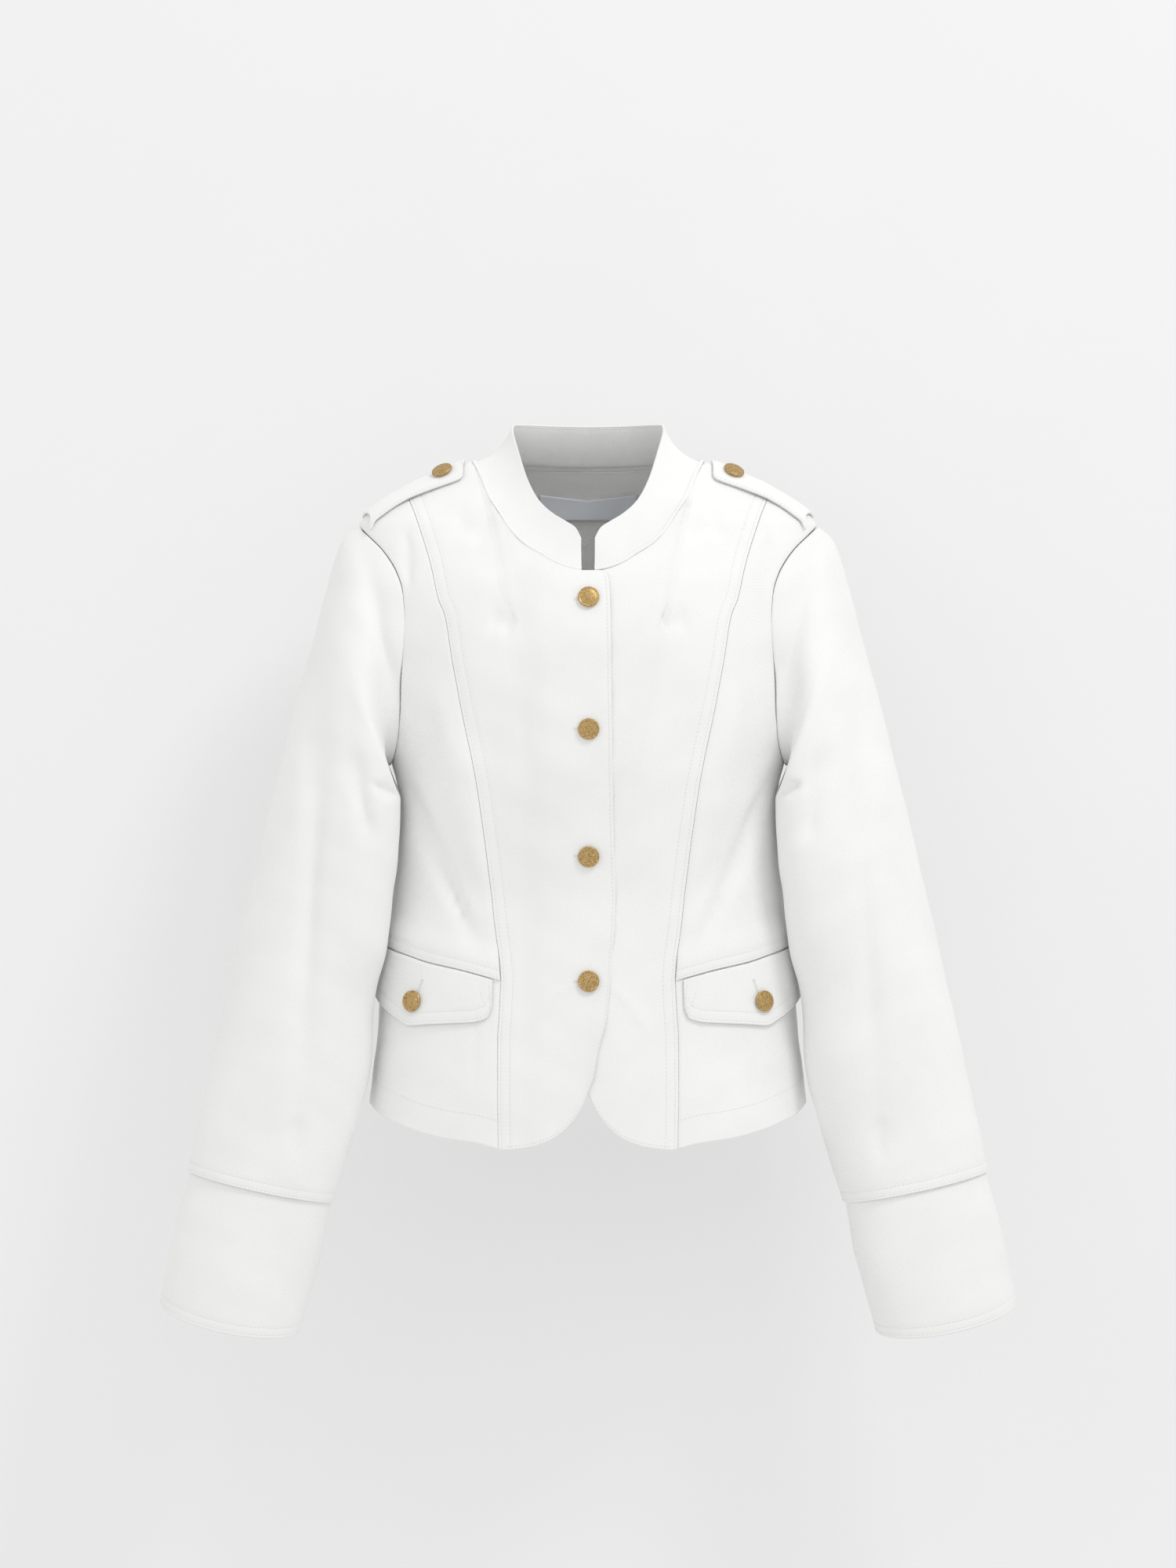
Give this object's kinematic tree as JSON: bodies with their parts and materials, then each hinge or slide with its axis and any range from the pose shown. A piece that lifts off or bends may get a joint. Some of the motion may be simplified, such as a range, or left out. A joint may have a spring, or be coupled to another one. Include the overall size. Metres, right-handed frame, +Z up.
{
  "type": "military jacket",
  "caption": "Short fitted jacket with a stand collar, shoulder straps, pocket flaps and lapped cuffs, buttoned down the front.",
  "frame": {"origin": "midway between the two points where the shoulder seams meet the neck seam, where the wearer's shoulders hold the jacket", "axes": "+Z up, -Y out of the front, -X towards the wearer's right"},
  "size_m": [0.6868, 0.2063, 0.7338],
  "materials": {
    "cloth": "matt cotton twill",
    "label": "woven satin, bare",
    "button": "speckled antique brass"
  },
  "bodies": {
    "root": {"front_right": "cloth", "front_left": "cloth", "side_front_right": "cloth", "side_front_left": "cloth", "skirt_right": "cloth", "skirt_left": "cloth", "flap_right": "cloth", "flap_left": "cloth", "back": "cloth", "collar": "cloth", "epaulette_right": "cloth", "epaulette_left": "cloth", "sleeve_right": "cloth", "sleeve_left": "cloth", "cuff_right": "cloth", "cuff_left": "cloth", "neck_label": "label", "button_front_1": "button", "button_front_2": "button", "button_front_3": "button", "button_front_4": "button", "button_epaulette_right": "button", "button_epaulette_left": "button", "button_flap_right": "button", "button_flap_left": "button"}
  },
  "joints": []
}
